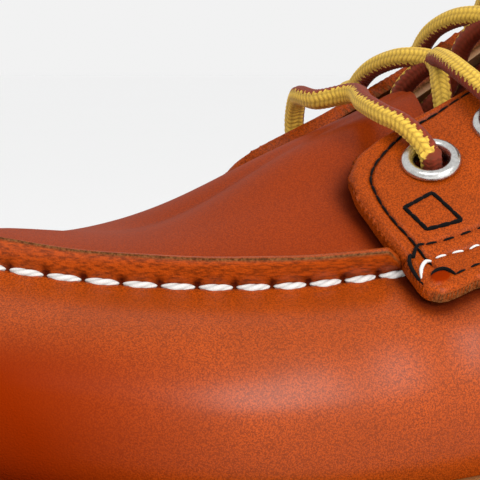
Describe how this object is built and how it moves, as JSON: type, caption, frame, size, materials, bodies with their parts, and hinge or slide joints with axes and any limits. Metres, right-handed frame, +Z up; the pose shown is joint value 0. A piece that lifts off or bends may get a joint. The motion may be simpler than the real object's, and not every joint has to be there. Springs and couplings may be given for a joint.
{
  "type": "moc toe oxford shoe",
  "caption": "Low lace-up leather shoe with a raised hand-sewn seam round the toe plug, open lacing quarters and a flat wedge sole.",
  "frame": {"origin": "on the sole's flat underside, half way along the sole and on its centre line", "axes": "-X towards the toe, -Y towards the outer (lateral) side of the foot, +Z up"},
  "size_m": [0.302, 0.1084, 0.116],
  "materials": {
    "sole_rubber": "matte off-white rubber",
    "welt_leather": "waxed brown edge",
    "insole_leather": "plain vegetable-tanned leather",
    "upper_leather": "pebbled red-brown leather with a soft sheen",
    "quarter_leather": "pebbled red-brown leather with a soft sheen",
    "tongue_leather": "dark red-brown leather",
    "eyelet_metal": "bright silver",
    "lace_cord": "round braided cord, gold with a red-brown side"
  },
  "bodies": {
    "root": {"outsole": "sole_rubber", "welt": "welt_leather", "insole": "insole_leather", "upper": "upper_leather", "quarter_outer": "quarter_leather", "quarter_inner": "quarter_leather", "backstay": "quarter_leather", "tongue": "tongue_leather", "eyelet_inner_1": "eyelet_metal", "eyelet_inner_2": "eyelet_metal", "eyelet_inner_3": "eyelet_metal", "eyelet_inner_4": "eyelet_metal", "eyelet_inner_5": "eyelet_metal", "eyelet_outer_1": "eyelet_metal", "eyelet_outer_2": "eyelet_metal", "eyelet_outer_3": "eyelet_metal", "eyelet_outer_4": "eyelet_metal", "eyelet_outer_5": "eyelet_metal", "lace_bar": "lace_cord", "lace_crossing_1": "lace_cord", "lace_crossing_2": "lace_cord", "lace_crossing_3": "lace_cord", "lace_crossing_4": "lace_cord"}
  },
  "joints": []
}
